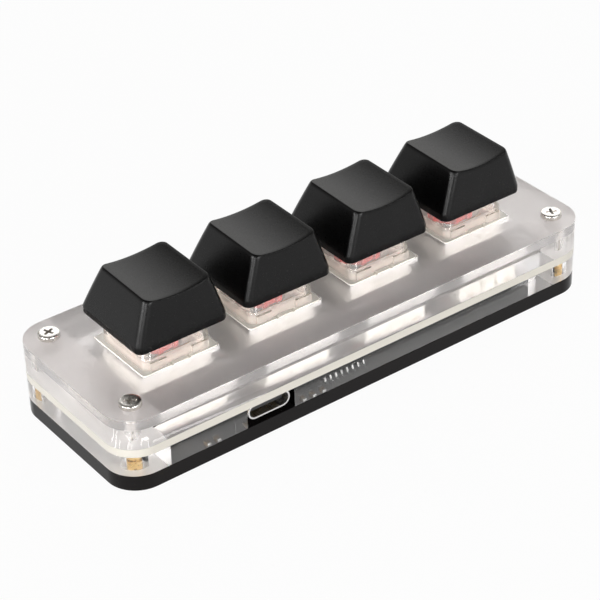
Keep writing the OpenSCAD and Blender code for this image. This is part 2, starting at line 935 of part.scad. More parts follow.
module keycap(key) {
    tilt = atan(cap_tilt_rise / cap_top_depth);
    color([0.16, 0.155, 0.16])
    at_key(key)
        translate([0, 0, cap_lower_z])
            difference() {
                union() {
                    difference() {
                        cap_shape(0, 0, cap_height + 0.3);
                        cap_shape(cap_wall, -overlap, cap_ceiling);
                    }
                    translate([0, 0, boss_recess])
                        cylinder(r = boss_radius, h = cap_ceiling - boss_recess + overlap);
                    // Ribs from the boss to the walls
                    translate([0, cap_top_lean / 2, cap_ceiling - cap_rib_height]) {
                        block([cap_top_width, cap_rib_thickness, cap_rib_height + overlap]);
                        block([cap_rib_thickness, cap_top_depth - 0.4, cap_rib_height + overlap]);
                    }
                }
                // Hollow for the finger
                translate([0, cap_top_lean, cap_height - cap_dish_depth + dish_radius])
                    rotate([90 + tilt, 0, 0])
                        cylinder(r = dish_radius, h = 3 * cap_base, center = true, $fn = 96);
                // Cross-shaped socket for the stem
                translate([0, 0, boss_recess - overlap]) {
                    block([cross_length + 2 * fit_gap, cross_across + 2 * fit_gap, socket_depth + overlap]);
                    block([cross_along + 2 * fit_gap, cross_length + 2 * fit_gap, socket_depth + overlap]);
                }
            }
}

base_plate();
rubber_feet();
lower_frame();
threaded_inserts();
circuit_board();
upper_frame();
top_plate();
top_screws();
base_screws();
socket_shell();
socket_tongue();
socket_contacts();
chip_body();
chip_leads();
capacitors();
capacitor_ends();
bottom_housing(1);  // bottom_housing_1
bottom_housing(2);  // bottom_housing_2
bottom_housing(3);  // bottom_housing_3
bottom_housing(4);  // bottom_housing_4
top_housing(1);  // top_housing_1
top_housing(2);  // top_housing_2
top_housing(3);  // top_housing_3
top_housing(4);  // top_housing_4
contact_leaf(1);  // contact_leaf_1
contact_leaf(2);  // contact_leaf_2
contact_leaf(3);  // contact_leaf_3
contact_leaf(4);  // contact_leaf_4
fixed_contact(1);  // fixed_contact_1
fixed_contact(2);  // fixed_contact_2
fixed_contact(3);  // fixed_contact_3
fixed_contact(4);  // fixed_contact_4
light(1);  // light_1
light(2);  // light_2
light(3);  // light_3
light(4);  // light_4
stem(1);  // stem_1
stem(2);  // stem_2
stem(3);  // stem_3
stem(4);  // stem_4
spring(1);  // spring_1
spring(2);  // spring_2
spring(3);  // spring_3
spring(4);  // spring_4
keycap(1);  // keycap_1
keycap(2);  // keycap_2
keycap(3);  // keycap_3
keycap(4);  // keycap_4
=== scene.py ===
# %% [markdown]
# # A small macro keypad in stacked acrylic
# Four black keycaps stand on four key switches in a low case of black, clear and frosted acrylic. This
# lesson dresses the keypad's CAD parts with finishes, and puts finer pieces in place of the ones whose
# edges and curves draw the eye. The CAD model sets every size and every place.

import json
import math

import bmesh
import bpy
from mathutils import Matrix, Vector


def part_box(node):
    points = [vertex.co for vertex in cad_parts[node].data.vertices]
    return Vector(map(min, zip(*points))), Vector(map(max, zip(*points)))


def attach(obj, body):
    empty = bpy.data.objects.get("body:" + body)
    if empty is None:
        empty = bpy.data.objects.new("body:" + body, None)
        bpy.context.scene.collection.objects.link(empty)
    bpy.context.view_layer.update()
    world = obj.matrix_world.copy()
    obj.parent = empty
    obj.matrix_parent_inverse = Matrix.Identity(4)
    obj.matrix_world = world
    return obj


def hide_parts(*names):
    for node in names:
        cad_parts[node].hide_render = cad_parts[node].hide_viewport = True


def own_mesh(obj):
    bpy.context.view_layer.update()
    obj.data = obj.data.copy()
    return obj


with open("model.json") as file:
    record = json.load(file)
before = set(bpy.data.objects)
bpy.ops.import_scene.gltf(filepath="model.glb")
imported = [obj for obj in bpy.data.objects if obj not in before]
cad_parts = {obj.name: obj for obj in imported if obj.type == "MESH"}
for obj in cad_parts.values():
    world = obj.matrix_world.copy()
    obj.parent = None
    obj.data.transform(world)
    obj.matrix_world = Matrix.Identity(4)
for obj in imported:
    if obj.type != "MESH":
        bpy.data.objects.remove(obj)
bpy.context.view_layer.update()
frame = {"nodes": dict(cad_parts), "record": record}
MM = 0.001

# %% [markdown]
# ## Camera
# The camera's place and direction were worked out from the edges of the real keypad in its photograph. It
# has a long lens, stands nearly 0.4 m away, and looks down on the side with the cable socket. A camera
# looks along its own -Z, so its matrix is made of the right, up and backward directions.

# %% Place the camera
PHOTO_WIDTH, FOCAL_LENGTH, SENSOR_WIDTH = 600, 2068.24, 36
YAW, PITCH, ROLL = 0.630884, 0.585705, -0.031411
CAMERA_PLACE = Vector((188.18, 254.37, 220.03)) * MM

scene = bpy.context.scene
camera_data = bpy.data.cameras.new("camera")
camera_data.sensor_width = SENSOR_WIDTH
camera_data.lens = FOCAL_LENGTH / PHOTO_WIDTH * SENSOR_WIDTH
camera_data.clip_start, camera_data.clip_end = 0.01, 20
right = Vector((-math.cos(YAW), math.sin(YAW), 0))
forward = Vector((-math.sin(YAW) * math.cos(PITCH), -math.cos(YAW) * math.cos(PITCH), -math.sin(PITCH)))
upward = right.cross(forward)
rolled_right = right * math.cos(ROLL) + upward * math.sin(ROLL)
rolled_up = upward * math.cos(ROLL) - right * math.sin(ROLL)
turned = Matrix((rolled_right, rolled_up, -forward)).transposed().to_4x4()
camera = bpy.data.objects.new("camera", camera_data)
camera.matrix_world = Matrix.Translation(CAMERA_PLACE) @ turned
scene.collection.objects.link(camera)
scene.camera = camera
print("lens in mm:", round(camera_data.lens, 1))

# %% [markdown]
# ## Sky
# Black and clear plastic show little but their reflections, so the room matters more than the lamps. One
# even grey would leave every face of a keycap alike. So the sky goes by direction: it is bright low down,
# like the white walls of a studio, dimmer overhead, and dimmer again above the camera and beyond the
# keypad's left end.

# %% Make the sky
SKY_TINT = (1.0, 0.995, 0.985)
LEVELS_BY_HEIGHT = [(0.0, 1.0), (0.25, 0.9), (0.45, 0.6), (0.75, 0.34), (1.0, 0.3)]
DIMMER_WAYS = [
    ((0.707, -0.707, 0), [(0.2, 1.0), (0.75, 0.45)]),
    ((0.0, 0.8, 0.6), [(0.3, 1.0), (0.75, 0.25)]),
]

scene.view_settings.view_transform = "Standard"
world = bpy.data.worlds.new("room")
scene.world = world
world.use_nodes = True
sky_nodes, sky_links = world.node_tree.nodes, world.node_tree.links
sky_place = sky_nodes.new("ShaderNodeTexCoord")


def fill_ramp(ramp, stops):
    """Sets the stops of a colour ramp from pairs of place and colour."""
    elements = ramp.color_ramp.elements
    while len(elements) < len(stops):
        elements.new(0.5)
    for element, (place, colour) in zip(elements, stops):
        element.position = place
        element.color = (*colour, 1)


def sky_ramp(direction, levels):
    """Grey level by how far a direction of the sky points along the given one."""
    along = sky_nodes.new("ShaderNodeVectorMath")
    along.operation = "DOT_PRODUCT"
    along.inputs[1].default_value = direction
    sky_links.new(sky_place.outputs["Generated"], along.inputs[0])
    ramp = sky_nodes.new("ShaderNodeValToRGB")
    fill_ramp(ramp, [(place, [level * tint for tint in SKY_TINT]) for place, level in levels])
    sky_links.new(along.outputs["Value"], ramp.inputs["Fac"])
    return ramp.outputs["Color"]


sky_colour = sky_ramp((0, 0, 1), LEVELS_BY_HEIGHT)
for direction, levels in DIMMER_WAYS:
    shade = sky_nodes.new("ShaderNodeVectorMath")
    shade.operation = "MULTIPLY"
    sky_links.new(sky_colour, shade.inputs[0])
    sky_links.new(sky_ramp(direction, levels), shade.inputs[1])
    sky_colour = shade.outputs[0]
sky_links.new(sky_colour, sky_nodes["Background"].inputs["Color"])
print("sky nodes:", len(sky_nodes))

# %% [markdown]
# ## Lamps
# Area lamps stand for softboxes, because their wide soft shapes show in the gloss of the keycaps. The first
# is behind the keypad: the keycaps' tops mirror it, and the keycaps shade the strip of the case before
# them. Three low ones, at the left end, the near corner and the camera's side, put a light line beside each
# keycap's near corner, and send light in through the clear sides of the case to the white switch housings.
# A small higher one on the camera's side lifts the keycaps' front faces.

# %% Make the lamps
LAMP_TARGET = (0, 0, 0.01)
LAMPS = {
    # place, width and height, power
    "back_softbox": ((-0.5, -0.62, 0.5), (0.7, 0.45), 1.2),
    "left_softbox": ((0.96, 0.02, 0.14), (0.45, 0.25), 5.6),
    "corner_softbox": ((0.8, 0.58, 0.11), (0.35, 0.2), 3.0),
    "low_softbox": ((0.04, 0.98, 0.14), (0.6, 0.22), 5.3),
    "front_softbox": ((-0.45, 0.72, 0.45), (0.4, 0.16), 1.1),
}


def add_lamp(name, place, size, power):
    lamp = bpy.data.lights.new(name, "AREA")
    lamp.shape = "RECTANGLE"
    lamp.size, lamp.size_y = size
    lamp.energy = power
    lamp_object = bpy.data.objects.new(name, lamp)
    turn = (Vector(LAMP_TARGET) - Vector(place)).to_track_quat("-Z", "Y").to_matrix().to_4x4()
    lamp_object.matrix_world = Matrix.Translation(place) @ turn
    scene.collection.objects.link(lamp_object)


for name, values in LAMPS.items():
    add_lamp(name, *values)
print("lamps:", list(LAMPS))

# %% [markdown]
# ## Floor
# A white floor lit by lamps alone turns grey, or else needs so much light that the keypad burns out. So
# what the camera sees of this floor, straight, mirrored or through clear plastic, is nearly all a glow of
# strength 1, which is white. The small share that stays a lit surface is enough to show the keypad's
# shadow.

# %% Make the floor
FLOOR_COLOUR = (0.88, 0.88, 0.875, 1)
FLOOR_GLOW_SHARE = 0.96
FLOOR_HALF_WIDTH = 3
SEEN_RAYS = ["Is Camera Ray", "Is Glossy Ray", "Is Transmission Ray"]


def path_mask(nodes, links, outputs):
    """One where the ray is of one of these kinds, and zero elsewhere."""
    path = nodes.new("ShaderNodeLightPath")
    mask = path.outputs[outputs[0]]
    for name in outputs[1:]:
        either = nodes.new("ShaderNodeMath")
        either.operation = "MAXIMUM"
        links.new(mask, either.inputs[0])
        links.new(path.outputs[name], either.inputs[1])
        mask = either.outputs[0]
    return mask


floor_material = bpy.data.materials.new("pale_floor")
floor_material.use_nodes = True
nodes, links = floor_material.node_tree.nodes, floor_material.node_tree.links
nodes.clear()
output = nodes.new("ShaderNodeOutputMaterial")
lit = nodes.new("ShaderNodeBsdfDiffuse")
lit.inputs["Color"].default_value = FLOOR_COLOUR
glow = nodes.new("ShaderNodeEmission")
glow.inputs["Strength"].default_value = 1.0
mixed = nodes.new("ShaderNodeMixShader")
share = nodes.new("ShaderNodeMath")
share.operation = "MULTIPLY"
share.inputs[1].default_value = FLOOR_GLOW_SHARE
links.new(path_mask(nodes, links, SEEN_RAYS), share.inputs[0])
links.new(share.outputs[0], mixed.inputs[0])
links.new(lit.outputs[0], mixed.inputs[1])
links.new(glow.outputs[0], mixed.inputs[2])
links.new(mixed.outputs[0], output.inputs["Surface"])

bm = bmesh.new()
bmesh.ops.create_grid(bm, x_segments=1, y_segments=1, size=FLOOR_HALF_WIDTH)
floor_mesh = bpy.data.meshes.new("floor")
bm.to_mesh(floor_mesh)
bm.free()
floor_mesh.materials.append(floor_material)
floor = bpy.data.objects.new("floor", floor_mesh)
scene.collection.objects.link(floor)
print("floor width in m:", 2 * FLOOR_HALF_WIDTH)

# %% [markdown]
# ## Shared surface effects
# Two node groups serve nearly every finish, and both are built from one recipe: a noise, given out as it is
# and also carried to a range that the material names. Fine grain gives the tiny bumps of a moulded, sawn or
# frosted surface. Handling marks give slow, cloudy changes, such as smears and dust, that break up a
# perfect gloss.


# %% Build the shared node groups
def noise_group(name, scale, detail, softness, spread, plain_output):
    """A noise group. One output is the plain noise, and Value carries its spread to the range Low to High."""
    tree = bpy.data.node_groups.new(name, "ShaderNodeTree")
    for socket_name, value in (("Scale", scale), ("Low", 0.3), ("High", 0.5)):
        socket = tree.interface.new_socket(socket_name, in_out="INPUT", socket_type="NodeSocketFloat")
        socket.default_value = value
    for socket_name in (plain_output, "Value"):
        tree.interface.new_socket(socket_name, in_out="OUTPUT", socket_type="NodeSocketFloat")
    entry, leave = tree.nodes.new("NodeGroupInput"), tree.nodes.new("NodeGroupOutput")
    place = tree.nodes.new("ShaderNodeTexCoord")
    noise = tree.nodes.new("ShaderNodeTexNoise")
    noise.inputs["Detail"].default_value = detail
    noise.inputs["Roughness"].default_value = softness
    tree.links.new(place.outputs["Object"], noise.inputs["Vector"])
    tree.links.new(entry.outputs["Scale"], noise.inputs["Scale"])
    tree.links.new(noise.outputs[0], leave.inputs[plain_output])
    ranged = tree.nodes.new("ShaderNodeMapRange")
    ranged.inputs["From Min"].default_value, ranged.inputs["From Max"].default_value = spread
    tree.links.new(noise.outputs[0], ranged.inputs["Value"])
    tree.links.new(entry.outputs["Low"], ranged.inputs["To Min"])
    tree.links.new(entry.outputs["High"], ranged.inputs["To Max"])
    tree.links.new(ranged.outputs["Result"], leave.inputs["Value"])
    return tree


FINE_GRAIN = noise_group(
    "fine_grain", scale=4000.0, detail=3.0, softness=0.6, spread=(0.3, 0.7), plain_output="Height"
)
HANDLING_MARKS = noise_group(
    "handling_marks", scale=90.0, detail=5.0, softness=0.55, spread=(0.35, 0.65), plain_output="Mask"
)
print("node groups:", [group.name for group in bpy.data.node_groups])

# %% [markdown]
# ## The parts of a finish
# Each finish starts from one Principled BSDF. A number that is the same all over goes straight into its
# socket. What changes over the surface comes from the groups: two close colours in clouds, a gloss that
# wanders, and a bump.


# %% Helpers for materials
def start_material(name, colour, roughness, metallic=0.0, transmission=0.0, ior=1.5, specular=0.5):
    material = bpy.data.materials.new(name)
    material.use_nodes = True
    shader = material.node_tree.nodes["Principled BSDF"]
    shader.inputs["Base Color"].default_value = (*colour, 1)
    shader.inputs["Roughness"].default_value = roughness
    shader.inputs["Metallic"].default_value = metallic
    shader.inputs["Transmission Weight"].default_value = transmission
    shader.inputs["IOR"].default_value = ior
    shader.inputs["Specular IOR Level"].default_value = specular
    return material, shader


def add_group(material, tree, **values):
    node = material.node_tree.nodes.new("ShaderNodeGroup")
    node.node_tree = tree
    for name, value in values.items():
        node.inputs[name].default_value = value
    return node


def add_bump(material, shader, height, strength, distance):
    bump = material.node_tree.nodes.new("ShaderNodeBump")
    bump.inputs["Strength"].default_value = strength
    bump.inputs["Distance"].default_value = distance
    material.node_tree.links.new(height, bump.inputs["Height"])
    material.node_tree.links.new(bump.outputs["Normal"], shader.inputs["Normal"])


def add_ramp(material, value, stops):
    """Colour ramp from pairs of place and colour, read by a value between 0 and 1."""
    ramp = material.node_tree.nodes.new("ShaderNodeValToRGB")
    fill_ramp(ramp, stops)
    material.node_tree.links.new(value, ramp.inputs["Fac"])
    return ramp.outputs["Color"]


def cloud_colours(material, shader, marks, colours):
    """Two close colours that pass into each other as the handling marks do."""
    clouds = add_ramp(material, marks.outputs["Mask"], [(0.35, colours[0]), (0.65, colours[1])])
    material.node_tree.links.new(clouds, shader.inputs["Base Color"])


FINISHES = {}

# %% [markdown]
# ## Opaque plastics
# The keycaps have a fine moulded texture and little gloss. The switch's base is an ivory nylon and its stem
# a satin red. A flat colour would look like a drawing, so each one gets a grain for the tiny bumps, in its
# gloss and its surface, and clouds for the slow changes. The keycaps' black is nearly pure, because what
# shows is their sheen.

# %% Opaque plastics
PLASTIC_MARK_SCALE, PLASTIC_BUMP = 160.0, 0.35
PLASTICS = {
    # two colours, lowest and highest roughness, scale and depth of the grain, specular level if not plain
    "keycap_black": ([(0.001, 0.0009, 0.001), (0.0016, 0.0015, 0.0016)], 0.26, 0.34, 4200.0, 0.00004, 0.22),
    "black_nylon": ([(0.012, 0.012, 0.012), (0.018, 0.018, 0.018)], 0.4, 0.6, 6000.0, 0.00002),
    "chip_epoxy": ([(0.018, 0.018, 0.019), (0.028, 0.028, 0.028)], 0.5, 0.7, 7000.0, 0.00003),
    "foot_rubber": ([(0.014, 0.014, 0.014), (0.02, 0.02, 0.02)], 0.65, 0.85, 3000.0, 0.00005),
    "housing_nylon": ([(0.92, 0.89, 0.83), (0.94, 0.92, 0.87)], 0.32, 0.45, 4000.0, 0.00001),
    "stem_red": ([(0.46, 0.016, 0.01), (0.54, 0.024, 0.016)], 0.3, 0.42, 4000.0, 0.00001),
    "light_package": ([(0.86, 0.84, 0.76), (0.9, 0.88, 0.8)], 0.3, 0.4, 5000.0, 0.00001),
    "capacitor_ceramic": ([(0.36, 0.25, 0.14), (0.42, 0.3, 0.18)], 0.3, 0.45, 6000.0, 0.00001),
}


def moulded(name, colours, low, high, grain_scale, grain_depth, specular=0.5):
    """Opaque plastic: two close colours in clouds, a grain in the gloss, and bumps of that grain."""
    material, shader = start_material(name, colours[0], (low + high) / 2, specular=specular)
    cloud_colours(material, shader, add_group(material, HANDLING_MARKS, Scale=PLASTIC_MARK_SCALE), colours)
    grain = add_group(material, FINE_GRAIN, Scale=grain_scale, Low=low, High=high)
    material.node_tree.links.new(grain.outputs["Value"], shader.inputs["Roughness"])
    add_bump(material, shader, grain.outputs["Height"], PLASTIC_BUMP, grain_depth)
    return material


for name, values in PLASTICS.items():
    FINISHES[name] = moulded(name, *values)
print("opaque plastics:", list(PLASTICS))

# %% [markdown]
# ## Circuit board
# The circuit board is two things at once: white solder mask on its faces, and bare cream glass laminate at
# its sawn edge, which shows as a thin pale line in the stack. The two could be separate slots, but the
# direction of the surface tells them apart without cutting the mesh. The faces are a mid grey, not white:
# that grey is painted shade, for the little light that reaches them in the narrow gaps between the sheets.

# %% Circuit board
# The grey of the board's top and underside is painted shade; the real solder mask is white.
BOARD_UNDERSIDE_IN_SHADE, BOARD_EDGE, BOARD_TOP_IN_SHADE = (0.32, 0.31, 0.3), (0.62, 0.59, 0.53), (0.3, 0.29, 0.28)
BOARD_STOPS = [(0.2, BOARD_UNDERSIDE_IN_SHADE), (0.3, BOARD_EDGE), (0.7, BOARD_EDGE), (0.8, BOARD_TOP_IN_SHADE)]

board, shader = start_material("board_laminate", BOARD_EDGE, roughness=0.35)
nodes, links = board.node_tree.nodes, board.node_tree.links
place = nodes.new("ShaderNodeTexCoord")
split = nodes.new("ShaderNodeSeparateXYZ")
links.new(place.outputs["Normal"], split.inputs[0])
upright = nodes.new("ShaderNodeMapRange")
upright.inputs["From Min"].default_value = -1
links.new(split.outputs["Z"], upright.inputs["Value"])
links.new(add_ramp(board, upright.outputs[0], BOARD_STOPS), shader.inputs["Base Color"])
grain = add_group(board, FINE_GRAIN, Scale=2500.0, Low=0.28, High=0.45)
links.new(grain.outputs["Value"], shader.inputs["Roughness"])
add_bump(board, shader, grain.outputs["Height"], strength=0.3, distance=0.00001)
FINISHES["board_laminate"] = board
print("board's edge colour:", BOARD_EDGE)

# %% [markdown]
# ## Metals
# The screws are nickel-plated, the inserts brass, the cable socket's shell drawn steel and its contacts
# gold-plated. A metal's colour is the colour of what it mirrors, so these are all one recipe with other
# colours: full metal, a gloss that wanders with the handling marks, and a faint tooth that keeps small
# faces from mirroring perfectly.

# %% Metals
METAL_MARK_SCALE, METAL_BUMP, METAL_GRAIN_DEPTH = 700.0, 0.25, 0.00001
METALS = {
    # two colours, lowest and highest roughness, scale of the grain
    "nickel_steel": ([(0.8, 0.77, 0.73), (0.88, 0.85, 0.81)], 0.18, 0.3, 6000.0),
    "brass_metal": ([(0.72, 0.47, 0.16), (0.83, 0.6, 0.27)], 0.2, 0.35, 5000.0),
    "socket_steel": ([(0.66, 0.65, 0.64), (0.74, 0.73, 0.72)], 0.2, 0.34, 6000.0),
    "gold_plate": ([(0.92, 0.76, 0.5), (0.95, 0.82, 0.58)], 0.4, 0.5, 6000.0),
    "tinned_lead": ([(0.72, 0.72, 0.7), (0.8, 0.8, 0.78)], 0.28, 0.42, 6000.0),
    "contact_copper": ([(0.72, 0.42, 0.2), (0.8, 0.52, 0.28)], 0.22, 0.35, 6000.0),
    "spring_steel": ([(0.6, 0.59, 0.57), (0.68, 0.67, 0.65)], 0.2, 0.32, 6000.0),
}


def plated(name, colours, low, high, grain_scale):
    """Metal: gloss that wanders between two values, and a faint tooth."""
    material, shader = start_material(name, colours[0], (low + high) / 2, metallic=1.0)
    marks = add_group(material, HANDLING_MARKS, Scale=METAL_MARK_SCALE, Low=low, High=high)
    cloud_colours(material, shader, marks, colours)
    material.node_tree.links.new(marks.outputs["Value"], shader.inputs["Roughness"])
    grain = add_group(material, FINE_GRAIN, Scale=grain_scale)
    add_bump(material, shader, grain.outputs["Height"], METAL_BUMP, METAL_GRAIN_DEPTH)
    return material


for name, values in METALS.items():
    FINISHES[name] = plated(name, *values)
print("metals:", list(METALS))

# %% [markdown]
# ## Acrylic sheet
# Acrylic bends light about as much as glass does, and its faces act as mirrors for whatever is inside. The
# two frames are clear, and the top plate is frosted: its upper face is rough, so that what lies right under
# it shows softly. Some faces look different from the rest of their sheet, and get a finish of their own:
# - milky: the frames' level faces at their ends, the lower frame's inner corners, and the plate's walls along
#   the switches
# - pressed: undersides that lie on another sheet, which show a slight haze
# - shaded: the upper frame's top between its ends, a greyer copy of the clear finish that is painted shade
#   for the strip the keycaps shade
# - cover foot: the lowest part of a switch's clear cover, which shows the white housing close behind it
#
# So to shadow rays each clear finish is only a tint, and the lamps reach what is behind it.


# %% Helpers for clear plastics
def let_lamps_through(material, tint):
    """Real clear plastic lights up what is behind it. Here shadow rays pass, a little tinted."""
    nodes, links = material.node_tree.nodes, material.node_tree.links
    path = nodes.new("ShaderNodeLightPath")
    clear = nodes.new("ShaderNodeBsdfTransparent")
    clear.inputs["Color"].default_value = (*tint, 1)
    mix = nodes.new("ShaderNodeMixShader")
    links.new(path.outputs["Is Shadow Ray"], mix.inputs[0])
    links.new(nodes["Principled BSDF"].outputs[0], mix.inputs[1])
    links.new(clear.outputs[0], mix.inputs[2])
    links.new(mix.outputs[0], nodes["Material Output"].inputs["Surface"])


def clear_plastic(name, colour, tint, low, high, ior, clarity):
    """Plastic that light goes through. Clarity below 1 mixes in a plain body colour, as haze does."""
    material, shader = start_material(name, colour, (low + high) / 2, transmission=clarity, ior=ior)
    marks = add_group(material, HANDLING_MARKS, Scale=120.0, Low=low, High=high)
    material.node_tree.links.new(marks.outputs["Value"], shader.inputs["Roughness"])
    let_lamps_through(material, tint)
    return material


def frost_above(material, level, low, high):
    """Swaps the gloss for a frosted roughness on the parts of the surface above a level."""
    nodes, links = material.node_tree.nodes, material.node_tree.links
    roughness = nodes["Principled BSDF"].inputs["Roughness"]
    gloss = roughness.links[0].from_socket
    place = nodes.new("ShaderNodeTexCoord")
    split = nodes.new("ShaderNodeSeparateXYZ")
    links.new(place.outputs["Object"], split.inputs[0])
    above = nodes.new("ShaderNodeMath")
    above.operation = "GREATER_THAN"
    above.inputs[1].default_value = level
    links.new(split.outputs["Z"], above.inputs[0])
    frost = add_group(material, FINE_GRAIN, Scale=2600.0, Low=low, High=high)
    mix = nodes.new("ShaderNodeMix")
    links.new(above.outputs[0], mix.inputs["Factor"])
    links.new(gloss, mix.inputs["A"])
    links.new(frost.outputs["Value"], mix.inputs["B"])
    links.new(mix.outputs["Result"], roughness)


# %% Clear and frosted finishes
ACRYLIC_IOR, COVER_IOR = 1.49, 1.5
SHEET_TINT, FROST_TINT, COVER_TINT = (0.98, 0.975, 0.97), (0.87, 0.86, 0.85), (0.93, 0.92, 0.9)
CLEAR_PLASTICS = {
    # colour, tint of the lamps' light, lowest and highest roughness, index of refraction, clarity
    "clear_acrylic": ((0.975, 0.97, 0.97), SHEET_TINT, 0.0, 0.03, ACRYLIC_IOR, 1.0),
    "pressed_acrylic": ((0.93, 0.9, 0.905), SHEET_TINT, 0.08, 0.16, ACRYLIC_IOR, 0.8),
    "milky_acrylic": ((0.98, 0.96, 0.95), SHEET_TINT, 0.15, 0.25, ACRYLIC_IOR, 0.15),
    # The grey of shaded_acrylic is painted shade, not a colour of the sheet.
    "shaded_acrylic": ((0.7, 0.675, 0.665), SHEET_TINT, 0.05, 0.1, ACRYLIC_IOR, 0.97),
    "frosted_acrylic": ((0.93, 0.91, 0.9), FROST_TINT, 0.08, 0.14, ACRYLIC_IOR, 0.91),
    "clear_cover": ((0.98, 0.955, 0.93), COVER_TINT, 0.05, 0.11, COVER_IOR, 0.87),
    "cover_foot": ((0.93, 0.86, 0.8), COVER_TINT, 0.08, 0.16, COVER_IOR, 0.6),
}
for name, values in CLEAR_PLASTICS.items():
    FINISHES[name] = clear_plastic(name, *values)

top_of_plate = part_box("top_plate")[1].z
FROST_DEPTH = 0.1 * MM
frost_above(FINISHES["frosted_acrylic"], top_of_plate - FROST_DEPTH, low=0.34, high=0.42)
print("clear plastics:", list(CLEAR_PLASTICS))

# %% [markdown]
# The base plate is black acrylic. Its polished face would mirror the studio and turn grey, and the real one
# stays black, so its specular level is low. Smears in the gloss keep it from looking like paint.

# %% Black acrylic
black, shader = start_material("black_acrylic", (0.007, 0.006, 0.006), roughness=0.12, specular=0.11)
marks = add_group(black, HANDLING_MARKS, Scale=140.0, Low=0.07, High=0.16)
black.node_tree.links.new(marks.outputs["Value"], shader.inputs["Roughness"])
FINISHES["black_acrylic"] = black
print("finishes:", len(FINISHES))

# %% [markdown]
# ## Dress the CAD parts
# Each part takes the finish that its record names. The CAD meshes are never changed. Where a part needs
# more, a new piece replaces it, takes the same finish, and moves with the same body.


# %% Give every CAD part its finish
def dress(piece, slot_name):
    piece.data.materials.clear()
    piece.data.materials.append(FINISHES[slot_name])


slot_of = {part["node"]: part["material_slot"] for part in frame["record"]["subparts"]}
body_of = {name: body for body, names in frame["record"]["behaviour"]["bodies"].items() for name in names}
for name, piece in frame["nodes"].items():
    dress(piece, slot_of[name])
print("dressed parts:", len(slot_of))


# %% Helpers that replace a CAD part
MERGE_DISTANCE = 0.002 * MM


def merged_copy(node):
    """A CAD mesh is loose triangles. Merging their shared corners makes one surface of them."""
    bm = bmesh.new()
    bm.from_mesh(frame["nodes"][node].data)
    bmesh.ops.remove_doubles(bm, verts=bm.verts, dist=MERGE_DISTANCE)
    return bm


def finish_piece(bm, node, sharp_angle=40):
    """Writes a bmesh to a new smooth object that stands for a CAD part and moves with its body."""
    for face in bm.faces:
        face.smooth = True
    mesh = bpy.data.meshes.new(node + "_finished")
    bm.to_mesh(mesh)
    bm.free()
    mesh.set_sharp_from_angle(angle=math.radians(sharp_angle))
    piece = bpy.data.objects.new(node + "_finished", mesh)
    scene.collection.objects.link(piece)
    dress(piece, slot_of[node])
    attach(piece, body_of[node])
    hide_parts(node)
    print(piece.name, "faces:", len(mesh.polygons))
    return piece


def shade_evenly(piece):
    """Lets the large faces rule the shading, so that they look flat beside their rounded edges."""
    piece.modifiers.new("even_shading", "WEIGHTED_NORMAL").keep_sharp = True


# %% [markdown]
# ## Rounded edges
# Sharp CAD edges never catch the light as real ones do. So each part that shows gets a copy with slightly
# rounded edges. A Bevel modifier could do this, but the copies are also cut where a finish changes, and
# with bmesh both happen in one place. Real sheets that lie on each other still have a film of air between
# them, and the light is turned back there, so the clear sheets are made a hair thinner than their place.

# %% Choose the finish of each face
# Half the size of the opening in the two clear frames, and the radius of its corners in the lower one
OPENING_HALF_LENGTH, OPENING_HALF_DEPTH = 44 * MM, 10.5 * MM
OPENING_RADIUS = 3 * MM
# Below this level a switch's cover shows the white housing behind it, and looks milky
COVER_FOOT_TOP = top_of_plate + 1.6 * MM
# A face is level, or faces along Y, where that part of its normal is larger than this
LEVEL_NORMAL, SIDE_NORMAL = 0.9, 0.5
OWN, MILKY, PRESSED, SHADED = range(4)
SHEET_FINISHES = ["milky_acrylic", "pressed_acrylic", "shaded_acrylic"]


def upright_finish(node, face):
    """Walls are clear, but for the lower frame's inner corners and the plate's walls along the switches."""
    across, deep = abs(face.center.x), abs(face.center.y)
    inside = across < OPENING_HALF_LENGTH and deep < OPENING_HALF_DEPTH
    by_end = across > OPENING_HALF_LENGTH - OPENING_RADIUS
    by_side = deep > OPENING_HALF_DEPTH - OPENING_RADIUS
    if node == "lower_frame" and inside and by_end and by_side:
        return MILKY
    if node == "top_plate" and inside and abs(face.normal.y) > SIDE_NORMAL:
        return MILKY
    return OWN


def level_finish(node, face):
    """The level faces of a clear sheet differ by what they lie on."""
    at_end = abs(face.center.x) >= OPENING_HALF_LENGTH
    if node == "top_plate":
        return OWN if face.normal.z > 0 else PRESSED
    if at_end:
        return MILKY
    if node == "lower_frame":
        return OWN
    return SHADED if face.normal.z > 0 else PRESSED


def finish_sheet_faces(piece, node):
    for name in SHEET_FINISHES:
        piece.data.materials.append(FINISHES[name])
    for face in piece.data.polygons:
        choose = level_finish if abs(face.normal.z) >= LEVEL_NORMAL else upright_finish
        face.material_index = choose(node, face)


def finish_cover_faces(piece):
    piece.data.materials.append(FINISHES["cover_foot"])
    for face in piece.data.polygons:
        face.material_index = 1 if face.center.z < COVER_FOOT_TOP else 0


# %% Helpers that cut and round a copy
CLEAR_SHEETS = ("lower_frame", "upper_frame", "top_plate")
AIR_FILM = 0.02
EDGE_SEGMENTS, ROUNDED_ANGLE, FLAT_ANGLE = 2, 32, 0.5


def leave_air(bm, node):
    """Makes a clear sheet thinner by a film of air on either side."""
    lowest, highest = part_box(node)
    middle = (lowest + highest) / 2
    thinner = 1 - 2 * AIR_FILM * MM / (highest.z - lowest.z)
    bmesh.ops.scale(bm, vec=(1, 1, thinner), space=Matrix.Translation(-middle), verts=bm.verts)


def cut_where_finish_changes(bm, node):
    cuts = []
    if node in ("lower_frame", "upper_frame"):
        cuts = [(Vector((side * OPENING_HALF_LENGTH, 0, 0)), (1, 0, 0)) for side in (-1, 1)]
        cuts += [(Vector((0, side * OPENING_HALF_DEPTH, 0)), (0, 1, 0)) for side in (-1, 1)]
    elif node.startswith("top_housing"):
        cuts = [(Vector((0, 0, COVER_FOOT_TOP)), (0, 0, 1))]
    for place, across in cuts:
        parts = bm.verts[:] + bm.edges[:] + bm.faces[:]
        bmesh.ops.bisect_plane(bm, geom=parts, plane_co=place, plane_no=across)


